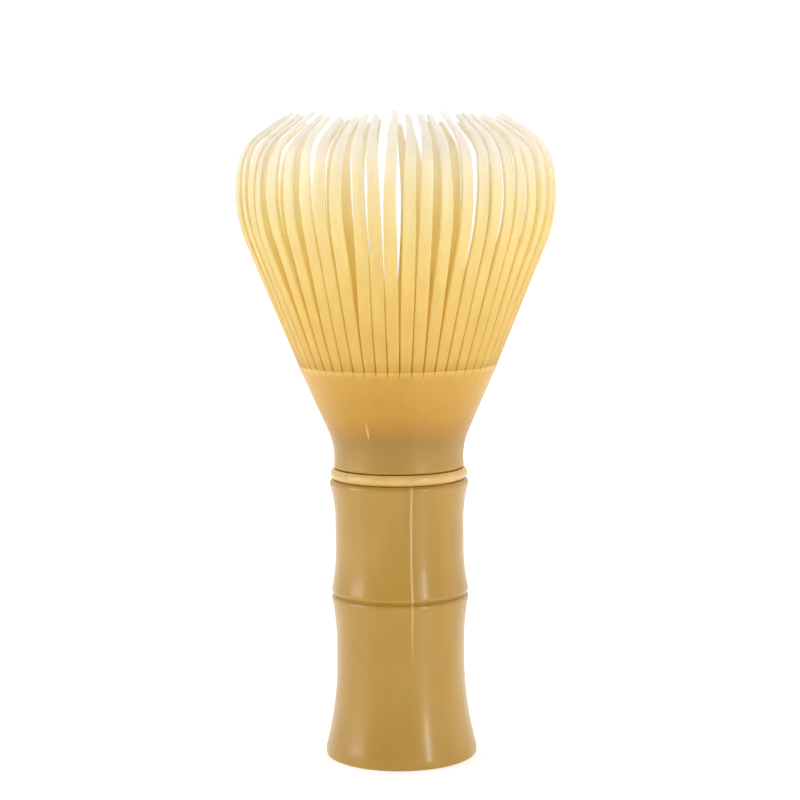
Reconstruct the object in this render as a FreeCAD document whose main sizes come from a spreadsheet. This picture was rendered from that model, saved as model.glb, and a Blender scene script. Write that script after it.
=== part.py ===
"""Moulded plastic tea whisk, in millimetres: +Z is up and the origin is the centre of the foot.

A hollow handle carries a bead ring and a cup on the boss at its top. The cup's rim
carries one ring of springy tines that flare out and curl back in at the tips.
"""
import FreeCAD, Part
import math
import os

import Sketcher

SIZES = {
    # handle_shell, outside, from the foot up
    "foot_radius": 13.3,
    "foot_edge": 0.5,
    "foot_top": 2.6,
    "waist_radius": 11.25,
    "lower_waist_bottom": 17.0,
    "lower_waist_top": 20.0,
    "lower_flare": 54.0,
    "node_radius": 12.0,
    "node_bottom": 27.9,
    "node_flare": 45.0,
    "groove_bottom": 28.4,
    "groove_round": 0.35,
    "groove_top": 28.95,
    "node_top": 29.6,
    "upper_waist_bottom": 36.6,
    "upper_waist_top": 41.5,
    "upper_flare": 34.0,
    "shoulder_flare": 25.0,
    "shoulder_radius": 12.15,
    "shoulder_bottom": 48.35,
    "shoulder_top": 48.95,
    "boss_radius": 9.6,
    "boss_edge": 0.4,
    "boss_top": 57.4,
    # handle_shell, inside
    "core_mouth_radius": 9.8,
    "core_radius": 9.3,
    "core_step_bottom": 45.6,
    "core_step_top": 46.8,
    "core_boss_radius": 7.7,
    "core_top": 55.6,
    # collar_ring
    "ring_top": 50.85,
    "ring_flat": 1.95,
    "ring_bead": 1.06,
    # tine_cup
    "neck_edge_radius": 11.0,
    "neck_edge_top": 51.5,
    "neck_radius": 11.4,
    "neck_flare": 12.0,
    "cone_bottom_radius": 12.1,
    "cone_bottom": 57.0,
    "rim_radius": 16.94,
    "rim_height": 68.1,
    "rim_inner_radius": 15.83,
    "rim_inner_height": 68.56,
    "sleeve_top": 54.6,
    # tines, seen from the side
    "tine_count": 54,
    "tine_first_azimuth": 1.0,
    "hinge_radius": 16.746,
    "hinge_height": 69.207,
    "root_round": 0.781,
    "root_outer_radius": 17.111,
    "root_outer_height": 68.516,
    "root_inner_radius": 16.001,
    "root_inner_height": 68.972,
    "flare_end_radius": 25.85,
    "flare_end_height": 89.8,
    "flare_inner_radius": 24.97,
    "flare_inner_height": 90.16,
    "crown_round": 23.5,
    "crown_end_radius": 27.1,
    "crown_end_height": 103.61,
    "crown_inner_radius": 26.31,
    "crown_inner_height": 103.44,
    "crown_inner_round": 22.6,
    "curl_round": 8.0,
    "curl_inner_round": 7.3,
    "curl_end_radius": 23.63,
    "curl_end_height": 108.66,
    "curl_inner_radius": 23.27,
    "curl_inner_height": 108.11,
    "tip_radius": 18.48,
    "tip_height": 112.0,
    "tip_inner_radius": 18.21,
    "tip_inner_height": 111.58,
    # tines, seen from outside
    "root_half_width": 0.78,
    "wide_half_width": 0.95,
    "wide_height": 96.0,
    "tip_half_width": 0.35,
    "cut_margin": 2.0,
}
LEAN_DEGREES = 0.62
LEAN_WAVES = 11
WOBBLE_DEGREES = 0.22
WOBBLE_WAVES = 20


def make_sizes(doc):
    """Put every driving dimension in a cell of its own, with its name as the alias."""
    sheet = doc.addObject("Spreadsheet::Sheet", "Sizes")
    for row, (name, value) in enumerate(SIZES.items(), start=1):
        sheet.set(f"A{row}", name)
        sheet.set(f"B{row}", str(value))
        sheet.setAlias(f"B{row}", name)
    doc.recompute()
    return sheet


def measured(sheet, text):
    """The length that a sum of sizes such as "boss_radius - boss_edge" stands for."""
    total = 0.0
    sign = 1.0
    for word in text.split():
        if word in "+-":
            sign = 1.0 if word == "+" else -1.0
        else:
            total += sign * sheet.get(word)
    return total


def bound(text):
    """The same sum as an expression on the sheet."""
    return " ".join(word if word in "+-" else f"Sizes.{word}" for word in text.split())


def arc_between(start, end, radius, turn):
    """A circular arc from start to end; turn is 1 for anticlockwise and -1 for clockwise."""
    chord = end - start
    middle = (start + end) * 0.5
    rise = math.sqrt(max(radius ** 2 - (chord.Length / 2) ** 2, 0.0))
    across = FreeCAD.Vector(-chord.y, chord.x, 0).normalize()
    centre = middle + across * (rise * turn)
    circle = Part.Circle(centre, FreeCAD.Vector(0, 0, 1), radius)
    first, last = (start, end) if turn > 0 else (end, start)
    angles = [math.atan2(p.y - centre.y, p.x - centre.x) for p in (first, last)]
    return Part.ArcOfCircle(circle, angles[0], angles[1])


def bind_length(sketch, constraint, text):
    """Add a constraint and drive it from the sheet."""
    index = sketch.addConstraint(constraint)
    sketch.setExpression(f"Constraints[{index}]", bound(text))


def pin_corner(sketch, sheet, edge, end, across, up):
    """Hold one end of an edge at the sizes named across and up, from the sketch's origin."""
    for kind, axis, text in (("DistanceX", -2, across), ("DistanceY", -1, up)):
        if text == "axis":
            sketch.addConstraint(Sketcher.Constraint("PointOnObject", edge, end, axis))
        else:
            length = measured(sheet, text)
            bind_length(sketch, Sketcher.Constraint(kind, -1, 1, edge, end, length), text)


def place_of(sheet, across, up):
    """The point that a corner's two names stand for."""
    x, y = (0.0 if text == "axis" else measured(sheet, text) for text in (across, up))
    return FreeCAD.Vector(x, y, 0)


def draw_outline(sketch, sheet, corners):
    """Draw a closed outline. A corner is (across, up), reached by a straight line, or
    (across, up, radius, turn), reached by an arc."""
    edges = []
    previous = corners[-1]
    for corner in corners:
        start = place_of(sheet, *previous[:2])
        end = place_of(sheet, *corner[:2])
        if len(corner) == 2:
            edges.append((sketch.addGeometry(Part.LineSegment(start, end)), 1, 2))
        else:
            radius, turn = corner[2:]
            arc = sketch.addGeometry(arc_between(start, end, measured(sheet, radius), turn))
            bind_length(sketch, Sketcher.Constraint("Radius", arc, measured(sheet, radius)), radius)
            edges.append((arc, 1, 2) if turn > 0 else (arc, 2, 1))
        previous = corner
    for corner, (edge, _, end), following in zip(corners, edges, edges[1:] + edges[:1]):
        sketch.addConstraint(Sketcher.Constraint("Coincident", edge, end, following[0], following[1]))
        pin_corner(sketch, sheet, edge, end, *corner[:2])


def origin_plane(body, role):
    """One of the body's own origin planes."""
    return next(plane for plane in body.Origin.OriginFeatures if plane.Role == role)


def add_sketch(body, name, role, sheet, *outlines):
    """A sketch on one of the body's origin planes, holding closed outlines."""
    sketch = body.newObject("Sketcher::SketchObject", name)
    sketch.AttachmentSupport = [(origin_plane(body, role), "")]
    sketch.MapMode = "FlatFace"
    for outline in outlines:
        draw_outline(sketch, sheet, outline)
    return sketch


def turned(body, kind, sketch):
    """Revolve a sketch about the vertical axis, to add with Revolution or cut with Groove."""
    feature = body.newObject(f"PartDesign::{kind}", f"{sketch.Name}_{kind}")
    feature.Profile = sketch
    feature.ReferenceAxis = (sketch, ["V_Axis"])
    feature.Angle = 360.0
    sketch.Visibility = False
    return feature


def make_handle_shell(doc, sheet):
    """Hollow waisted handle with a grooved bamboo-like node and a closed boss on top."""
    body = doc.addObject("PartDesign::Body", "handle_shell")
    outside = [
        ("axis", "axis"),
        ("foot_radius - foot_edge", "axis"),
        ("foot_radius", "foot_edge", "foot_edge", 1),
        ("foot_radius", "foot_top"),
        ("waist_radius", "lower_waist_bottom", "lower_flare", -1),
        ("waist_radius", "lower_waist_top"),
        ("node_radius", "node_bottom", "node_flare", -1),
        ("node_radius", "groove_bottom"),
        ("node_radius", "groove_top", "groove_round", -1),
        ("node_radius", "node_top"),
        ("waist_radius", "upper_waist_bottom", "upper_flare", -1),
        ("waist_radius", "upper_waist_top"),
        ("shoulder_radius", "shoulder_bottom", "shoulder_flare", -1),
        ("shoulder_radius - foot_edge", "shoulder_top", "foot_edge", 1),
        ("boss_radius", "shoulder_top"),
        ("boss_radius", "boss_top - boss_edge"),
        ("boss_radius - boss_edge", "boss_top", "boss_edge", 1),
        ("axis", "boss_top"),
    ]
    core = [
        ("axis", "axis"),
        ("core_mouth_radius", "axis"),
        ("core_radius", "core_step_bottom"),
        ("core_boss_radius", "core_step_top"),
        ("core_boss_radius", "core_top"),
        ("axis", "core_top"),
    ]
    turned(body, "Revolution", add_sketch(body, "handle_outside", "XZ_Plane", sheet, outside))
    doc.recompute()
    solid_volume = body.Shape.Volume
    turned(body, "Groove", add_sketch(body, "handle_core", "XZ_Plane", sheet, core))
    doc.recompute()
    if body.Shape.Volume > 0.7 * solid_volume:
        raise ValueError("the core hasn't hollowed the handle")
    return body


def make_collar_ring(doc, sheet):
    """Bead ring that sits on the handle's shoulder, round the boss."""
    body = doc.addObject("PartDesign::Body", "collar_ring")
    outline = [
        ("boss_radius", "shoulder_top"),
        ("boss_radius + ring_flat", "shoulder_top"),
        ("boss_radius + ring_flat", "ring_top", "ring_bead", 1),
        ("boss_radius", "ring_top"),
    ]
    turned(body, "Revolution", add_sketch(body, "ring_section", "XZ_Plane", sheet, outline))
    return body


def make_tine_cup(doc, sheet):
    """Neck sleeve over the boss, opening into the cone whose rim carries the tines."""
    body = doc.addObject("PartDesign::Body", "tine_cup")
    outline = [
        ("boss_radius", "ring_top"),
        ("neck_edge_radius", "ring_top"),
        ("neck_radius", "neck_edge_top"),
        ("cone_bottom_radius", "cone_bottom", "neck_flare", -1),
        ("rim_radius", "rim_height"),
        ("rim_inner_radius", "rim_inner_height"),
        ("boss_radius", "sleeve_top"),
    ]
    turned(body, "Revolution", add_sketch(body, "cup_section", "XZ_Plane", sheet, outline))
    return body


def side_of_tine():
    """A tine from the side: straight flare, crown at the widest level, curl and straight tip."""
    return [
        ("root_outer_radius", "root_outer_height", "root_round", 1),
        ("flare_end_radius", "flare_end_height"),
        ("crown_end_radius", "crown_end_height", "crown_round", 1),
        ("curl_end_radius", "curl_end_height", "curl_round", 1),
        ("tip_radius", "tip_height"),
        ("tip_inner_radius", "tip_inner_height"),
        ("curl_inner_radius", "curl_inner_height"),
        ("crown_inner_radius", "crown_inner_height", "curl_inner_round", -1),
        ("flare_inner_radius", "flare_inner_height", "crown_inner_round", -1),
        ("root_inner_radius", "root_inner_height"),
    ]


def beside_tine(sign):
    """What is cut away on one side of a tine, seen from outside."""
    low = "root_outer_height - cut_margin"
    high = "tip_height + cut_margin"
    corners = [
        (f"{sign} root_half_width", low),
        (f"{sign} wide_half_width {sign} cut_margin", low),
        (f"{sign} wide_half_width {sign} cut_margin", high),
        (f"{sign} tip_half_width", high),
        (f"{sign} tip_half_width", "tip_height"),
        (f"{sign} wide_half_width", "wide_height"),
        (f"{sign} root_half_width", "root_outer_height"),
    ]
    return corners


def lean_of(azimuth):
    """The slight sideways lean of a tine, in degrees: it drifts in clumps round the ring."""
    drift = LEAN_DEGREES * math.sin(LEAN_WAVES * azimuth)
    wobble = WOBBLE_DEGREES * math.cos(WOBBLE_WAVES * azimuth)
    return drift + wobble


def make_tine(doc, sheet, number):
    """One tapering tine, drawn at azimuth 0, leaned about its root and turned into place."""
    body = doc.addObject("PartDesign::Body", f"tine_{number:02d}")
    side = add_sketch(body, f"tine_side_{number:02d}", "XZ_Plane", sheet, side_of_tine())
    bar = body.newObject("PartDesign::Pad", f"tine_bar_{number:02d}")
    bar.Profile = side
    bar.SideType = "Symmetric"
    bar.setExpression("Length", "2 * Sizes.wide_half_width + Sizes.cut_margin")
    front = add_sketch(body, f"tine_front_{number:02d}", "YZ_Plane", sheet,
                       beside_tine("+"), beside_tine("-"))
    taper = body.newObject("PartDesign::Pocket", f"tine_taper_{number:02d}")
    taper.Profile = front
    taper.SideType = "Symmetric"
    taper.setExpression("Length", "4 * Sizes.crown_end_radius")
    for sketch in (side, front):
        sketch.Visibility = False
    step = 360.0 / sheet.get("tine_count")
    azimuth = sheet.get("tine_first_azimuth") + step * (number - 1)
    root = FreeCAD.Vector(sheet.get("hinge_radius"), 0, sheet.get("hinge_height"))
    turn = FreeCAD.Placement(FreeCAD.Vector(), FreeCAD.Rotation(FreeCAD.Vector(0, 0, 1), azimuth))
    lean = FreeCAD.Rotation(FreeCAD.Vector(1, 0, 0), lean_of(math.radians(azimuth)))
    body.Placement = turn * FreeCAD.Placement(FreeCAD.Vector(), lean, root)
    return body


def check(doc):
    """Stop on anything that didn't compute."""
    for item in doc.Objects:
        if "Invalid" in item.State or "Error" in item.State:
            raise ValueError(f"{item.Name} didn't compute: {item.State}")
        shape = getattr(item, "Shape", None)
        if shape is not None and (shape.isNull() or not shape.isValid()):
            raise ValueError(f"{item.Name} has no valid shape")


def main():
    doc = FreeCAD.newDocument("tea_whisk")
    sheet = make_sizes(doc)
    parts = [make_handle_shell(doc, sheet), make_collar_ring(doc, sheet), make_tine_cup(doc, sheet)]
    for number in range(1, int(sheet.get("tine_count")) + 1):
        parts.append(make_tine(doc, sheet, number))
    doc.recompute()
    check(doc)
    os.makedirs("parts", exist_ok=True)
    for part in parts:
        part.Label = part.Name
        part.Shape.exportStep(f"parts/{part.Label}.step")


main()
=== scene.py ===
"""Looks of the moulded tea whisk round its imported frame: metres, +Z up, seen from -Y."""
import math
import random

import bpy
from mathutils import Matrix, Vector


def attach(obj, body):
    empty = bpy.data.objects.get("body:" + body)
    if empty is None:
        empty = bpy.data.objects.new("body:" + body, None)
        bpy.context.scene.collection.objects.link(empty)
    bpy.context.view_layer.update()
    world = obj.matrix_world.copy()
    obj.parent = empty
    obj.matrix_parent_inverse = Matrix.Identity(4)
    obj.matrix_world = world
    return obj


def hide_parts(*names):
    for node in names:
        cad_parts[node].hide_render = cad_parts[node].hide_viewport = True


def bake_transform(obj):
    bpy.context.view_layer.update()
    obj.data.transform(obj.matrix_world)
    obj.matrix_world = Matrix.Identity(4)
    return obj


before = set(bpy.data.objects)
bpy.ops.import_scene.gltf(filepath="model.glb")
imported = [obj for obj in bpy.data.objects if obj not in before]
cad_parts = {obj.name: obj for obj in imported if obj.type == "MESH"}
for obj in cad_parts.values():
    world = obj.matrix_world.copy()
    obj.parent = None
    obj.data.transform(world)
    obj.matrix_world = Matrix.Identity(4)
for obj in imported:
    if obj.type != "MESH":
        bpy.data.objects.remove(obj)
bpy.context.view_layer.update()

MM = 0.001
SEED = 700

# ---------------------------------------------------------------- camera

CAMERA_DISTANCE = 0.350
CAMERA_HEIGHT = 0.100
CAMERA_DOWN = math.radians(6.1)
CAMERA_ROLL = math.radians(-0.55)
CAMERA_LENS = 90.8


def make_camera():
    """The photograph's view: level with the widest part, looking slightly down."""
    data = bpy.data.cameras.new("camera")
    data.lens = CAMERA_LENS
    data.sensor_width = 36.0
    data.clip_start = 0.01
    camera = bpy.data.objects.new("camera", data)
    bpy.context.scene.collection.objects.link(camera)
    place = Matrix.Translation((0.0003, -CAMERA_DISTANCE, CAMERA_HEIGHT))
    tilt = Matrix.Rotation(math.pi / 2 - CAMERA_DOWN, 4, "X")
    roll = Matrix.Rotation(CAMERA_ROLL, 4, "Z")
    camera.matrix_world = place @ tilt @ roll
    bpy.context.scene.camera = camera


# ---------------------------------------------------------------- outlines

ARC_STEPS = 12
LINE_STEP = 1.0


def line_to(points, corner):
    """Go on straight to a corner, in steps short enough for smooth shading."""
    start, end = Vector(points[-1]), Vector(corner)
    steps = max(1, round((end - start).length / LINE_STEP))
    points.extend(tuple(start.lerp(end, i / steps)) for i in range(1, steps + 1))


def arc_to(points, corner, radius, turn, steps=ARC_STEPS):
    """Go on round an arc to a corner; turn is 1 for anticlockwise and -1 for clockwise."""
    start, end = Vector(points[-1]), Vector(corner)
    chord = end - start
    rise = math.sqrt(max(radius ** 2 - (chord.length / 2) ** 2, 0.0))
    across = Vector((-chord.y, chord.x)).normalized()
    centre = (start + end) / 2 + across * (rise * turn)
    first = math.atan2(*(start - centre).yx)
    sweep = (math.atan2(*(end - centre).yx) - first) * turn % math.tau * turn
    for i in range(1, steps + 1):
        angle = first + sweep * i / steps
        points.append((centre.x + radius * math.cos(angle), centre.y + radius * math.sin(angle)))


def outline(corners):
    """Points of an outline from (radius, height) and (radius, height, arc radius, turn)."""
    points = [corners[0][:2]]
    for corner in corners[1:]:
        if len(corner) == 2:
            line_to(points, corner)
        else:
            arc_to(points, corner[:2], *corner[2:])
    return points


# ---------------------------------------------------------------- meshes

SHARP = math.radians(40)


def make_object(name, points, faces, material):
    """A smooth-shaded object in the scene, its corners given in millimetres."""
    mesh = bpy.data.meshes.new(name)
    mesh.from_pydata([tuple(c * MM for c in p) for p in points], [], faces)
    mesh.validate()
    mesh.shade_smooth()
    mesh.set_sharp_from_angle(angle=SHARP)
    mesh.materials.append(material)
    thing = bpy.data.objects.new(name, mesh)
    bpy.context.scene.collection.objects.link(thing)
    return thing


def closed_faces(rows, columns):
    """Faces round a turned skin whose section closes: rows points in each of the columns."""
    faces = []
    for c in range(columns):
        here, there = c * rows, (c + 1) % columns * rows
        for r in range(rows):
            up = (r + 1) % rows
            faces.append((here + r, there + r, there + up, here + up))
    return faces


def lathe(name, section, azimuths, material, raised=None):
    """Turn a closed section about Z. raised(azimuth, radius, height) adds to the radius."""
    points = []
    for azimuth in azimuths:
        cos, sin = math.cos(azimuth), math.sin(azimuth)
        for radius, height in section:
            out = radius + (raised(azimuth, radius, height) if raised else 0.0)
            points.append((out * cos, out * sin, height))
    return make_object(name, points, closed_faces(len(section), len(azimuths)), material)


def even_azimuths(count):
    return [math.tau * i / count for i in range(count)]


def turn_apart(a, b):
    """The signed angle from b to a."""
    return (a - b + math.pi) % math.tau - math.pi


# ---------------------------------------------------------------- materials

def linear(red, green, blue):
    """An sRGB colour, 0 to 255, as Blender's linear colour with alpha."""
    def one(v):
        v /= 255
        return v / 12.92 if v <= 0.04045 else ((v + 0.055) / 1.055) ** 2.4
    return (one(red), one(green), one(blue), 1.0)


class Nodes:
    """Short calls for building one material's node tree."""

    def __init__(self, name):
        self.material = bpy.data.materials.new(name)
        self.material.use_nodes = True
        self.tree = self.material.node_tree
        self.shader = self.tree.nodes["Principled BSDF"]

    def add(self, kind, **settings):
        node = self.tree.nodes.new(kind)
        for key, value in settings.items():
            setattr(node, key, value)
        return node

    def link(self, output, target):
        self.tree.links.new(output, target)

    def coordinates(self, scale=(1, 1, 1)):
        """Object coordinates in millimetres, times scale."""
        source = self.add("ShaderNodeTexCoord")
        mapping = self.add("ShaderNodeMapping")
        mapping.inputs["Scale"].default_value = [s / MM for s in scale]
        self.link(source.outputs["Object"], mapping.inputs["Vector"])
        return mapping.outputs["Vector"]

    def noise(self, scale, detail=3.0, rough=0.5):
        """Noise from 0 to 1, with scale in waves per millimetre along X, Y and Z."""
        node = self.add("ShaderNodeTexNoise")
        node.inputs["Scale"].default_value = 1.0
        node.inputs["Detail"].default_value = detail
        node.inputs["Roughness"].default_value = rough
        self.link(self.coordinates(scale), node.inputs["Vector"])
        return node.outputs["Fac"]

    def spread(self, value, low, high, start=0.3, end=0.7):
        """Map a value from start..end to low..high."""
        node = self.add("ShaderNodeMapRange")
        for name, number in (("From Min", start), ("From Max", end), ("To Min", low), ("To Max", high)):
            node.inputs[name].default_value = number
        self.link(value, node.inputs["Value"])
        return node.outputs["Result"]

    def height(self):
        """Height above the foot, in millimetres."""
        split = self.add("ShaderNodeSeparateXYZ")
        self.link(self.coordinates(), split.inputs["Vector"])
        return split.outputs["Z"]

    def depth(self):
        """Distance behind the axis, in millimetres."""
        split = self.add("ShaderNodeSeparateXYZ")
        self.link(self.coordinates(), split.inputs["Vector"])
        return split.outputs["Y"]

    def calc(self, operation, *values):
        """A math node on sockets or plain numbers."""
        node = self.add("ShaderNodeMath", operation=operation)
        for socket, value in zip(node.inputs, values):
            if isinstance(value, (int, float)):
                socket.default_value = value
            else:
                self.link(value, socket)
        return node.outputs[0]

    def mix(self, colour, other, share):
        """A share of another colour mixed into a colour."""
        node = self.add("ShaderNodeMix", data_type="RGBA")
        self.link(share, node.inputs["Factor"])
        self.link(colour, node.inputs[6])
        node.inputs[7].default_value = other
        return node.outputs[2]

    def off_plane(self, azimuth):
        """Distance in millimetres from the upright plane through the axis at an azimuth."""
        node = self.add("ShaderNodeVectorMath", operation="DOT_PRODUCT")
        self.link(self.coordinates(), node.inputs[0])
        node.inputs[1].default_value = (-math.sin(azimuth), math.cos(azimuth), 0)
        return self.calc("ABSOLUTE", node.outputs["Value"])

    def ramp(self, value, stops):
        """Colours along a value: stops are (position, colour)."""
        node = self.add("ShaderNodeValToRGB")
        elements = node.color_ramp.elements
        while len(elements) < len(stops):
            elements.new(0.5)
        for element, (position, colour) in zip(elements, stops):
            element.position = position
            element.color = colour
        self.link(value, node.inputs["Fac"])
        return node.outputs["Color"]

    def shade(self, colour, value):
        """Multiply a colour by a grey value."""
        node = self.add("ShaderNodeVectorMath", operation="SCALE")
        self.link(colour, node.inputs[0])
        self.link(value, node.inputs["Scale"])
        return node.outputs["Vector"]

    def bump(self, value, depth, strength=1.0):
        """Bump the surface by depth millimetres."""
        node = self.add("ShaderNodeBump")
        node.inputs["Strength"].default_value = strength
        node.inputs["Distance"].default_value = depth * MM
        self.link(value, node.inputs["Height"])
        self.link(node.outputs["Normal"], self.shader.inputs["Normal"])

    def scatter(self, weight, depth, colour):
        """Subsurface scattering: depth in millimetres, colour as its reach in red, green, blue."""
        self.shader.inputs["Subsurface Weight"].default_value = weight
        self.shader.inputs["Subsurface Radius"].default_value = colour
        self.shader.inputs["Subsurface Scale"].default_value = depth * MM

    def let_through(self, colour, share):
        """Let a share of the light through to the far side."""
        thin = self.add("ShaderNodeBsdfTranslucent")
        mix = self.add("ShaderNodeMixShader")
        mix.inputs["Fac"].default_value = share
        self.link(colour, thin.inputs["Color"])
        self.link(self.shader.outputs["BSDF"], mix.inputs[1])
        self.link(thin.outputs["BSDF"], mix.inputs[2])
        self.link(mix.outputs["Shader"], self.tree.nodes["Material Output"].inputs["Surface"])


# the mould's parting lines: where they run, how wide and high, and the heights over which they and their
# painted highlight fade
SEAM_AZIMUTHS = (math.radians(-80), math.radians(100))
SEAM_HALF_WIDTH = 0.24
SEAM_HEIGHT = 0.17
SEAM_FADE = (17.0, 29.0)


def make_handle_plastic():
    """Opaque tan plastic with faint flow streaks, and a painted highlight mixed in along its raised
    parting lines.
    """
    n = Nodes("handle_plastic_look")
    streaks = n.noise((0.55, 0.55, 0.03), detail=4.0, rough=0.6)
    clouds = n.noise((0.09, 0.09, 0.05), detail=2.0)
    # painted highlight: the raised parting lines are mixed toward a pale colour, fading out below the
    # heights of SEAM_FADE
    line = n.spread(n.off_plane(SEAM_AZIMUTHS[0]), 0.5, 0.0, 0.08, 0.28)
    painted_highlight_share = n.calc("MULTIPLY", line, n.spread(n.height(), 0.0, 1.0, *SEAM_FADE))
    colour = n.ramp(clouds, [(0.3, linear(168, 129, 46)), (0.7, linear(176, 137, 53))])
    streaked = n.shade(colour, n.spread(streaks, 0.965, 1.03))
    n.link(n.mix(streaked, linear(228, 192, 132), painted_highlight_share), n.shader.inputs["Base Color"])
    n.link(n.spread(n.noise((0.4, 0.4, 0.2)), 0.30, 0.38), n.shader.inputs["Roughness"])
    n.shader.inputs["Specular IOR Level"].default_value = 0.3
    n.shader.inputs["Coat Weight"].default_value = 0.4
    n.shader.inputs["Coat Roughness"].default_value = 0.19
    n.bump(n.noise((0.25, 0.25, 0.08), detail=2.0), 0.04, 0.5)
    n.scatter(0.12, 0.5, (1.0, 0.55, 0.25))
    return n.material


def make_ring_plastic():
    """The bead ring's lighter plastic."""
    n = Nodes("ring_plastic_look")
    streaks = n.noise((0.3, 0.3, 0.6), detail=3.0)
    colour = n.ramp(streaks, [(0.3, linear(207, 171, 102)), (0.7, linear(214, 179, 108))])
    n.link(colour, n.shader.inputs["Base Color"])
    n.link(n.spread(streaks, 0.26, 0.34), n.shader.inputs["Roughness"])
    n.scatter(0.35, 0.8, (1.0, 0.6, 0.3))
    return n.material


HEAD_LOW, HEAD_HIGH = 50.8, 112.0
HEAD_COLOURS = [
    (50.8, (180, 143, 64)),
    (56.4, (166, 126, 45)),
    (58.2, (178, 130, 30)),
    (61.0, (191, 145, 38)),
    (67.7, (203, 157, 54)),
    (69.0, (224, 181, 82)),
]
# The tines' colour by height grows paler upward to near white at the tips: painted light standing in for
# the glare of the lights above and behind.
TINE_COLOURS_WITH_PAINTED_GLARE = [
    (68.2, (225, 184, 84)),
    (71.0, (241, 210, 115)),
    (82.0, (244, 220, 136)),
    (92.0, (247, 230, 166)),
    (100.0, (252, 241, 204)),
    (106.0, (255, 250, 236)),
    (112.0, (255, 254, 250)),
]


def head_look(name, colours, uneven):
    """Amber plastic coloured by height, as node calls and the colour output."""
    n = Nodes(name)
    place = n.spread(n.height(), 0.0, 1.0, HEAD_LOW, HEAD_HIGH)
    stops = [((h - HEAD_LOW) / (HEAD_HIGH - HEAD_LOW), linear(*c)) for h, c in colours]
    streaks = n.noise((0.5, 0.5, 0.04), detail=3.0)
    colour = n.shade(n.ramp(place, stops), n.spread(streaks, 1 - uneven, 1 + uneven))
    n.link(colour, n.shader.inputs["Base Color"])
    n.link(n.spread(n.noise((0.3, 0.3, 0.1)), 0.30, 0.40), n.shader.inputs["Roughness"])
    n.bump(n.noise((0.6, 0.6, 0.1), detail=2.0), 0.03, 0.5)
    return n, colour


# the mark the mould's gate left at the foot of the cone, and the heights of its painted highlight
GATE_AZIMUTH = math.radians(-114)
GATE_SPAN = (56.8, 60.2)


def make_cup_plastic():
    """The neck and cone: solid enough to look deep amber, with a painted highlight on the gate mark."""
    n, colour = head_look("head_plastic_look", HEAD_COLOURS, 0.03)
    low, high = GATE_SPAN
    # painted highlight: a pale stripe mixed in along the gate mark on the front of the cone
    line = n.spread(n.off_plane(GATE_AZIMUTH), 0.55, 0.0, 0.08, 0.3)
    above = n.spread(n.height(), 0.0, 1.0, low, low + 1.0)
    below = n.spread(n.height(), 1.0, 0.0, high - 1.4, high)
    front = n.spread(n.depth(), 1.0, 0.0, -1.0, 0.0)
    painted_highlight_share = n.calc("MULTIPLY", n.calc("MULTIPLY", line, front), n.calc("MULTIPLY", above, below))
    n.link(n.mix(colour, linear(226, 184, 108), painted_highlight_share), n.shader.inputs["Base Color"])
    n.scatter(1.0, 1.2, (1.0, 0.62, 0.22))
    return n.material


def make_tine_plastic():
    """The tines: thin enough for light to come through them, with painted glare making them paler up to
    near-white tips.
    """
    n, colour = head_look("tine_plastic_look", TINE_COLOURS_WITH_PAINTED_GLARE, 0.04)
    n.scatter(0.4, 1.0, (1.0, 0.75, 0.45))
    n.let_through(colour, 0.45)
    return n.material


# ---------------------------------------------------------------- handle and ring

HANDLE_OUTSIDE = [
    (10.2, 0.0), (13.0, 0.0), (13.3, 0.3, 0.3, 1), (13.3, 1.2),
    (11.25, 17.0, 60.0, -1), (11.25, 20.0), (11.98, 27.6, 42.0, -1), (11.75, 28.48, 0.75, 1),
    (11.5, 28.68, 0.3, -1), (11.72, 28.9, 0.3, -1), (12.0, 29.5, 0.7, 1),
    (11.25, 36.6, 34.0, -1), (11.25, 41.5), (12.1, 47.9, 25.0, -1), (11.5, 48.92, 0.72, 1),
    (9.6, 48.95), (9.6, 57.0), (9.2, 57.4, 0.4, 1), (0.5, 57.4),
]
HANDLE_INSIDE = [
    (0.5, 55.6), (7.4, 55.6), (7.7, 55.3, 0.3, -1), (7.7, 46.8), (9.3, 45.6), (9.8, 0.4),
    (10.2, 0.0, 0.4, -1),
]
# the parting lines run on the outer face only, and end under the shoulder
SEAM_INNER_RADIUS = 10.4
SEAM_TOP = 48.2


def seam_rise(azimuth, radius, height):
    """How far the mould's parting line stands out of the handle."""
    low, high = SEAM_FADE
    fade = min(max((height - low) / (high - low), 0.05), 1.0)
    rise = 0.0
    for seam in SEAM_AZIMUTHS:
        across = turn_apart(azimuth, seam) * radius / SEAM_HALF_WIDTH
        if abs(across) < 1:
            rise = SEAM_HEIGHT * fade * (0.5 + 0.5 * math.cos(math.pi * across))
    return rise if radius > SEAM_INNER_RADIUS and height < SEAM_TOP else 0.0


def handle_azimuths():
    """Even columns, with closer ones across each parting line."""
    close = [seam + math.radians(0.22 * i) for seam in SEAM_AZIMUTHS for i in range(-8, 9)]
    even = [a for a in even_azimuths(240)
            if all(abs(turn_apart(a, seam)) > math.radians(2.0) for seam in SEAM_AZIMUTHS)]
    return sorted(a % math.tau for a in even + close)


def make_handle(material):
    section = outline(HANDLE_OUTSIDE) + outline(HANDLE_INSIDE)[:-1]
    piece = lathe("handle_moulding", section, handle_azimuths(), material, seam_rise)
    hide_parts("handle_shell")
    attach(piece, "handle")


def make_ring(material):
    section = outline([
        (9.65, 48.97), (11.35, 49.0), (11.5, 49.06, 0.12, 1), (11.5, 50.76, 0.98, 1),
        (11.35, 50.82, 0.12, 1), (9.65, 50.83), (9.65, 48.97),
    ])[:-1]
    piece = lathe("bead_ring", section, even_azimuths(192), material)
    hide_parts("collar_ring")
    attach(piece, "handle")


# ---------------------------------------------------------------- head

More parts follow.
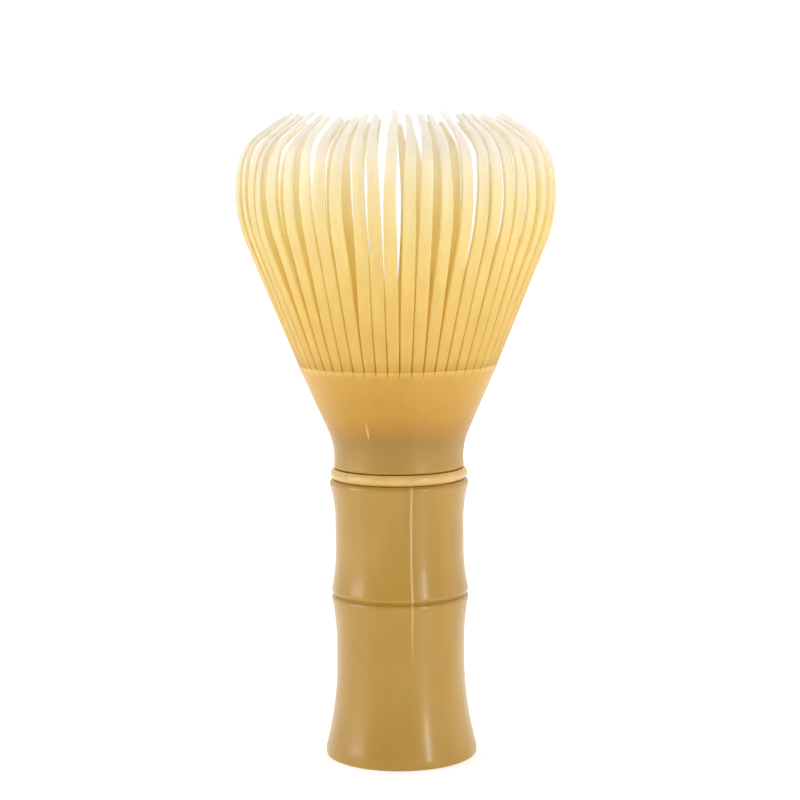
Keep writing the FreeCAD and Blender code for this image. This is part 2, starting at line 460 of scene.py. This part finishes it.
TINE_COUNT = sum(node.startswith("tine_") and node != "tine_cup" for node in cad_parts)
TINE_PITCH = math.tau / TINE_COUNT
FIRST_AZIMUTH = math.radians(1.0)
WALL = 1.2
# the cup's rim as radius and height, and the directions up its wall and out of it
RIM = Vector((16.94, 68.1))
UP_WALL = Vector((0.3798, 0.9251))
OUT_OF_WALL = Vector((0.9251, -0.3798))
# half the width of the slots between the tines, and how far the tines' stubs stand above them
SLOT_ROUND = 0.055
STUB = 0.9
# how far below the rim the turned part of the wall ends
EDGE_DROP = 0.6

CUP_OUTSIDE = [
    (9.7, 50.9), (10.9, 50.9), (11.35, 51.35, 0.45, 1), (12.1, 57.0, 12.0, -1),
    tuple(RIM - UP_WALL * EDGE_DROP),
]
CUP_INSIDE = [
    tuple(RIM - OUT_OF_WALL * WALL - UP_WALL * EDGE_DROP), (10.0, 55.2), (9.7, 54.6, 1.2, -1), (9.7, 50.9),
]


def slot_azimuths():
    """Columns across each tine's stub and each slot, closer at the slot's round end."""
    columns = []
    for i in range(TINE_COUNT):
        slot = FIRST_AZIMUTH + (i + 0.5) * TINE_PITCH
        for share in (-1.0, -0.9, -0.7, -0.4, 0.0, 0.4, 0.7, 0.9, 1.0):
            columns.append((slot + share * SLOT_ROUND / RIM.x, share * SLOT_ROUND))
        for share in (0.2, 0.4, 0.6, 0.8):
            rest = TINE_PITCH - 2 * SLOT_ROUND / RIM.x
            columns.append((slot + SLOT_ROUND / RIM.x + rest * share, None))
    return columns


def rim_rise(across):
    """Height of the cup's edge along its wall: low and round in a slot, high at a stub."""
    if across is None:
        return STUB
    if abs(across) >= SLOT_ROUND:
        return STUB
    return SLOT_ROUND - math.sqrt(SLOT_ROUND ** 2 - across ** 2)


# the small swelling at the foot of each slot, and the size of the gate mark
PIP_HEIGHT = 0.08
GATE_HALF_WIDTH = 0.3
GATE_HEIGHT = 0.25


def gate_rise(azimuth, radius, height):
    """How far the small upright gate mark stands out of the foot of the cone."""
    low, high = GATE_SPAN
    across = turn_apart(azimuth, GATE_AZIMUTH) * radius / GATE_HALF_WIDTH
    if abs(across) >= 1 or not low < height < high:
        return 0.0
    return GATE_HEIGHT * (0.5 + 0.5 * math.cos(math.pi * across))


def make_cup(material):
    """The neck and cone, its edge cut by round-ended slots between the stubs of the tines."""
    outside, inside = outline(CUP_OUTSIDE), outline(CUP_INSIDE)[:-1]
    columns = slot_azimuths()
    points = []
    for azimuth, across in columns:
        top = rim_rise(across)
        edge = [RIM + UP_WALL * (top * share - EDGE_DROP * (1 - share)) for share in (0.5, 1.0)]
        pip = 0.0 if across is None else PIP_HEIGHT
        outer = [tuple(edge[0] + OUT_OF_WALL * pip), tuple(edge[1] + OUT_OF_WALL * pip * 0.4)]
        inner = [tuple(p - OUT_OF_WALL * WALL) for p in reversed(edge)]
        raised = [(r + gate_rise(azimuth, r, h), h) for r, h in outside]
        for radius, height in raised + outer + inner + inside:
            points.append((radius * math.cos(azimuth), radius * math.sin(azimuth), height))
    faces = closed_faces(len(points) // len(columns), len(columns))
    piece = make_object("head_cup", points, faces, material)
    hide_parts("tine_cup")
    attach(piece, "handle")


# tine outline, as in the CAD: a straight flare, the crown, the curl and a straight tip
CROWN_ROUND = 23.5
CROWN_TURN = math.radians(34.3)
CURL_ROUND = 8.0
CURL_TURN = math.radians(45.0)
FLARE_LENGTH = 23.46
TIP_LENGTH = 6.14
ROOT_DEPTH = 1.2
TIP_ROUND = 0.4
# how much a tine thins up to its crown and again to its tip
THINNER_AT_CROWN = 0.42
THINNER_AT_TIP = 0.3
# how much its root, inside the cup, is narrower, thinner and deeper, and how proud the tine stands
ROOT_NARROWER = 0.1
ROOT_THINNER = 0.08
ROOT_DEEPER = 0.05
PROUD = 0.012
# where along a tine its drift runs, and from where its sway and its twist grow
DRIFT_SPAN = (1.0, 27.0)
SWAY_START = 30.0
TWIST_START = 6.0
# the rounding of a tine's corners and the crowning of its outer face, as shares of its size
CORNER_SHARE = 0.24
CROWNING = 0.1
# How many degrees a tine has drifted round the axis by its crown, for those seen best.
DRIFT = {
    7: 0.0, 8: 0.0, 9: -1.7, 10: 0.0, 11: -1.3, 12: -1.0, 13: 0.0, 14: -1.6, 15: -1.8,
    16: -1.6, 17: -2.8, 18: -4.2, 19: -4.9, 20: -5.4, 21: -1.2, 22: -1.5, 23: -1.5, 24: -2.0,
    34: 1.5, 35: 2.6, 36: 3.4, 37: 2.0, 38: 1.3, 39: 3.0, 40: 1.5, 41: 0.1, 42: 0.1,
    43: -0.9, 44: -0.2, 45: 0.4, 46: -0.25, 47: -1.4, 48: -1.8, 49: -3.0, 50: -2.4, 51: -1.0,
}
# A tine's width in millimetres at distances along it from the rim.
WIDTHS = [(0.0, 1.86), (8.0, 2.16), (17.0, 2.24), (27.0, 2.14), (34.0, 1.95), (38.0, 1.8),
          (41.0, 1.6), (44.0, 1.3), (50.0, 0.85)]


def bend(point, lean, radius, turn):
    """Go round an arc that turns inward, and return the new point and lean."""
    def side(angle):
        return Vector((math.cos(angle), -math.sin(angle)))
    return point + (side(lean - turn) - side(lean)) * radius, lean - turn


def tine_line(along, flare, curl):
    """Point and lean from vertical of a tine's outer face at a distance along it from the rim."""
    lean = math.atan2(UP_WALL.x, UP_WALL.y)
    point = RIM + UP_WALL * min(along, flare)
    left = along - flare
    for radius, turn in ((CROWN_ROUND, CROWN_TURN), (curl, CURL_TURN)):
        if left <= 0:
            return point, lean
        point, lean = bend(point, lean, radius, min(left / radius, turn))
        left -= radius * turn
    if left > 0:
        point = point + Vector((math.sin(lean), math.cos(lean))) * left
    return point, lean


def section_of(width, depth, narrowing):
    """A bar's section: rounded corners, a slightly crowned outer face, sides that close inward."""
    corner = min(width, depth) * CORNER_SHARE
    points = []
    for side_x, side_y, start in ((1, 1, 0), (-1, 1, 90), (-1, -1, 180), (1, -1, 270)):
        centre = Vector((side_x * (width / 2 - corner), side_y * (depth / 2 - corner)))
        for step in range(4):
            angle = math.radians(start + 30 * step)
            points.append(centre + Vector((math.cos(angle), math.sin(angle))) * corner)
    for p in points:
        if p.y > 0:
            p.y -= CROWNING * width * (p.x / width) ** 2
        p.x *= 1 - narrowing * (0.5 - p.y / depth)
    return points


def smooth(value, start, end):
    """0 before start, 1 after end, and an even S between them."""
    t = min(max((value - start) / (end - start), 0.0), 1.0)
    return t * t * (3 - 2 * t)


def drift_of(number, azimuth, chance):
    """Sideways drift of a tine in degrees round the axis, at the crown: neighbours clump."""
    clumps = 1.0 * math.sin(11 * azimuth) + 0.8 * math.cos(4 * azimuth)
    return DRIFT.get(number, clumps + chance.uniform(-0.7, 0.7))


def width_at(along):
    """A tine's width at a distance along it, between the widths given."""
    for (start, first), (end, second) in zip(WIDTHS, WIDTHS[1:]):
        if along <= end:
            t = max((along - start) / (end - start), 0.0)
            return first + (second - first) * t
    return WIDTHS[-1][1]


def tine_stations(total):
    """Distances along a tine at which its section is drawn, closer at both ends."""
    body = [1.6 + (total - 2.4) * i / 46 for i in range(47)]
    tip = [total - TIP_ROUND * share for share in (1.4, 1.0, 0.7, 0.4, 0.15, 0.0)]
    return [-ROOT_DEPTH, -0.3, 0.2, 0.6, 1.0] + body + tip


def make_tine(number, material):
    """One tine: a tapering bar, bent, drifted and twisted a little by chance."""
    chance = random.Random(SEED + number)
    azimuth = FIRST_AZIMUTH + (number - 1) * TINE_PITCH
    drift = math.radians(drift_of(number, azimuth, chance))
    curl = CURL_ROUND * chance.uniform(0.94, 1.08)
    flare = FLARE_LENGTH + chance.uniform(-0.4, 0.2)
    tip = TIP_LENGTH + chance.uniform(-1.1, 0.0)
    twist = math.radians(chance.uniform(-9, 9))
    sway = math.radians(chance.uniform(-2.2, 2.2))
    thin = chance.uniform(0.94, 1.04)
    total = flare + CROWN_ROUND * CROWN_TURN + curl * CURL_TURN + tip
    rings = []
    for along in tine_stations(total):
        point, lean = tine_line(along, flare, curl)
        share = max(along, 0.0) / total
        thinner = THINNER_AT_CROWN * smooth(share, 0.0, 0.7) + THINNER_AT_TIP * smooth(share, 0.7, 1.0)
        depth = (WALL - thinner) * thin
        hidden = 1.0 - smooth(along, -0.2, 0.9)
        end = min((total - along) / TIP_ROUND, 1.0)
        close = 0.15 + 0.85 * math.sqrt(max(1 - (1 - end) ** 2, 0.0))
        width = (width_at(along) - ROOT_NARROWER * hidden) * close
        normal = Vector((math.cos(lean), -math.sin(lean)))
        centre = point - normal * (depth / 2 + ROOT_DEEPER * hidden - PROUD)
        turn = azimuth + drift * smooth(along, *DRIFT_SPAN) + sway * smooth(along, SWAY_START, total)
        own = twist * smooth(along, TWIST_START, total)
        ring = []
        for p in section_of(width, (depth - ROOT_THINNER * hidden) * close, depth / point.x):
            across = p.x * math.cos(own) - p.y * math.sin(own)
            out = p.x * math.sin(own) + p.y * math.cos(own)
            spot = centre + normal * out
            ring.append((spot.x * math.cos(turn) - across * math.sin(turn),
                         spot.x * math.sin(turn) + across * math.cos(turn), spot.y))
        rings.append(ring)
    piece = tube(f"tine_bar_{number:02d}", rings, material)
    node = f"tine_{number:02d}"
    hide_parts(node)
    along = Vector((math.cos(azimuth) * UP_WALL.x, math.sin(azimuth) * UP_WALL.x, UP_WALL.y))
    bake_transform(piece)


def tube(name, rings, material):
    """A closed skin over rings of points that all have the same count."""
    size = len(rings[0])
    points = [p for ring in rings for p in ring]
    faces = [tuple(reversed(range(size))), tuple(range(len(points) - size, len(points)))]
    for r in range(len(rings) - 1):
        for c in range(size):
            beside = (c + 1) % size
            faces.append((r * size + c, r * size + beside, (r + 1) * size + beside, (r + 1) * size + c))
    return make_object(name, points, faces, material)


# ---------------------------------------------------------------- stage and light

def make_stage():
    """A pale floor that rises into a wall all round, brighter behind the whisk."""
    n = Nodes("stage_look")
    n.shader.inputs["Base Color"].default_value = (0.8, 0.8, 0.8, 1)
    n.shader.inputs["Roughness"].default_value = 0.9
    n.shader.inputs["Emission Color"].default_value = (1, 1, 1, 1)
    n.link(n.spread(n.depth(), 0.10, 0.48, -650.0, 60.0), n.shader.inputs["Emission Strength"])
    section = [(0.0, 0.0), (300.0, 0.0), (700.0, 0.0)]
    arc_to(section, (1200.0, 500.0), 500.0, 1)
    section.append((1200.0, 1500.0))
    points, faces = [], []
    count = 64
    for i in range(count):
        a = math.tau * i / count
        points.extend((r * math.cos(a), r * math.sin(a), z) for r, z in section)
    rows = len(section)
    for i in range(count):
        here, there = i * rows, (i + 1) % count * rows
        faces.extend((here + r, there + r, there + r + 1, here + r + 1) for r in range(rows - 1))
    floor = make_object("floor", points, faces, n.material)


def add_light(name, azimuth, elevation, distance, width, height, power):
    """An area light that faces the whisk. Azimuth 0 is the camera's side, 90 the right."""
    data = bpy.data.lights.new(name, "AREA")
    data.shape = "RECTANGLE"
    data.size, data.size_y = width, height
    data.energy = power
    light = bpy.data.objects.new(name, data)
    bpy.context.scene.collection.objects.link(light)
    a, e = math.radians(azimuth), math.radians(elevation)
    back = Vector((math.sin(a) * math.cos(e), -math.cos(a) * math.cos(e), math.sin(e)))
    light.location = Vector((0, 0, 0.06)) + back * distance
    light.rotation_euler = back.to_track_quat("Z", "Y").to_euler()
    light.visible_camera = False
    return light


def make_lights():
    world = bpy.data.worlds.new("world")
    world.use_nodes = True
    background = world.node_tree.nodes["Background"]
    background.inputs["Color"].default_value = (1, 1, 1, 1)
    background.inputs["Strength"].default_value = 0.02
    bpy.context.scene.world = world
    add_light("left_box", -76, 14, 0.55, 0.26, 0.32, 1.2)
    add_light("right_box", 95, 12, 0.55, 0.4, 0.6, 0.2)
    add_light("strip", 42, 13, 0.5, 0.05, 0.36, 0.85)
    add_light("front_top", -10, 48, 0.55, 0.3, 0.2, 0.1)
    add_light("back_box", 180, 50, 0.6, 0.6, 0.5, 0.6)
    add_light("top_box", 180, 82, 0.4, 0.3, 0.3, 0.45)
    low = add_light("floor_strip", 41, 0, 0.15, 0.03, 0.2, 0.012)
    low.location.z = 0.0005
    low.rotation_euler = (math.pi, 0, math.radians(41))


def main():
    make_camera()
    bpy.context.scene.view_settings.view_transform = "Standard"
    handle_plastic = make_handle_plastic()
    ring_plastic = make_ring_plastic()
    cup_plastic = make_cup_plastic()
    tine_plastic = make_tine_plastic()
    make_handle(handle_plastic)
    make_ring(ring_plastic)
    make_cup(cup_plastic)
    for number in range(1, TINE_COUNT + 1):
        make_tine(number, tine_plastic)
    make_stage()
    make_lights()


main()
